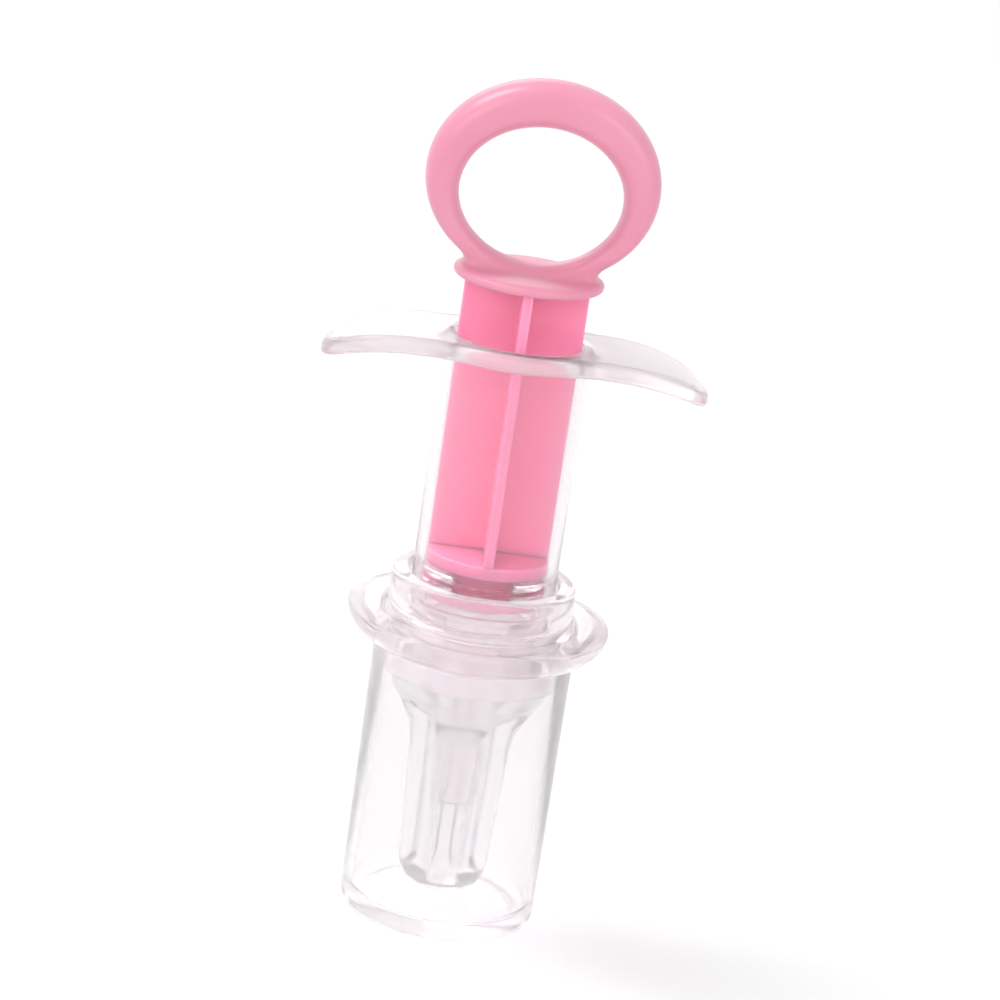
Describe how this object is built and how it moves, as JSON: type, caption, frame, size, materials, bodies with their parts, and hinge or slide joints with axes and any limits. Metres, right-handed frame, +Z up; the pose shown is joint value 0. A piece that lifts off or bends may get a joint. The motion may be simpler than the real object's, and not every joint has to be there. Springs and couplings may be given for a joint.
{
  "type": "oral syringe",
  "caption": "Oral medicine syringe for a baby: ring-pull plunger in a clear barrel with grip wings, screw collar with mouth shield, fluted silicone teat and a dust cap that it stands on.",
  "frame": {"origin": "centre of the dust cap's underside, which the syringe stands on", "axes": "+Z up the barrel to the finger ring, +X along the grip wings to the right of the side the ring's opening faces, -Y the side the ring's opening faces"},
  "size_m": [0.0582, 0.04, 0.1312],
  "materials": {
    "clear_cap": "clear polished polypropylene",
    "silicone": "milky translucent silicone",
    "clear_collar": "clear polished polypropylene",
    "clear_barrel": "clear polished polypropylene",
    "pink_plastic": "glossy moulded plastic",
    "seal_silicone": "translucent silicone"
  },
  "bodies": {
    "cap": {"cap": "clear_cap"},
    "teat": {"teat": "silicone"},
    "collar": {"collar": "clear_collar"},
    "barrel": {"barrel": "clear_barrel"},
    "plunger": {"plunger": "pink_plastic", "piston_seal": "seal_silicone"}
  },
  "joints": [
    {"name": "uncap", "type": "slide", "parent": "cap", "child": "teat", "axis": [0, 0, 1], "range_m": [0, 0.045]},
    {"name": "collar_turn", "type": "hinge", "parent": "teat", "child": "collar", "pos_m": [0, 0, 0.05], "axis": [0, 0, 1], "range_deg": [-900, 0]},
    {"name": "barrel_rise", "type": "slide", "parent": "teat", "child": "barrel", "axis": [0, 0, 1], "range_m": [0, 0.0056]},
    {"name": "plunger_slide", "type": "slide", "parent": "barrel", "child": "plunger", "axis": [0, 0, 1], "range_m": [-0.001, 0.032]}
  ],
  "couplings": [
    {"joint": "barrel_rise", "follows": "collar_turn", "m_per_rad": -0.00035014}
  ]
}
